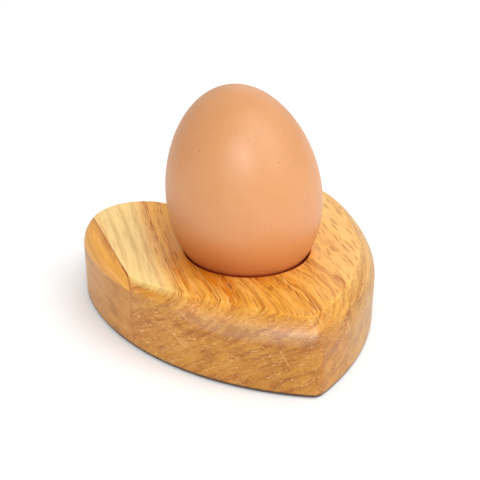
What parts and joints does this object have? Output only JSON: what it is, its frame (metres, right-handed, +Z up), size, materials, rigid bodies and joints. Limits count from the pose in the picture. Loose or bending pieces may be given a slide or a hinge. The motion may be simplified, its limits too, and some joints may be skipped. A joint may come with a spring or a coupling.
{
  "type": "boiled egg in egg cup",
  "caption": "Boiled brown egg standing in a heart-shaped oak egg cup with upright walls, a sanded upper edge and a round hollow.",
  "frame": {"origin": "under the middle of the heart's outline, on the flat base", "axes": "+Z up, +Y from the heart's point to its lobes, +X to the right with the point towards the viewer"},
  "size_m": [0.0868, 0.0946, 0.0697],
  "materials": {
    "eggshell": "brown eggshell, smooth with a soft sheen",
    "oak": "honey-coloured oiled oak, sanded, silky"
  },
  "bodies": {
    "root": {"egg": "eggshell", "egg_cup": "oak"}
  },
  "joints": []
}
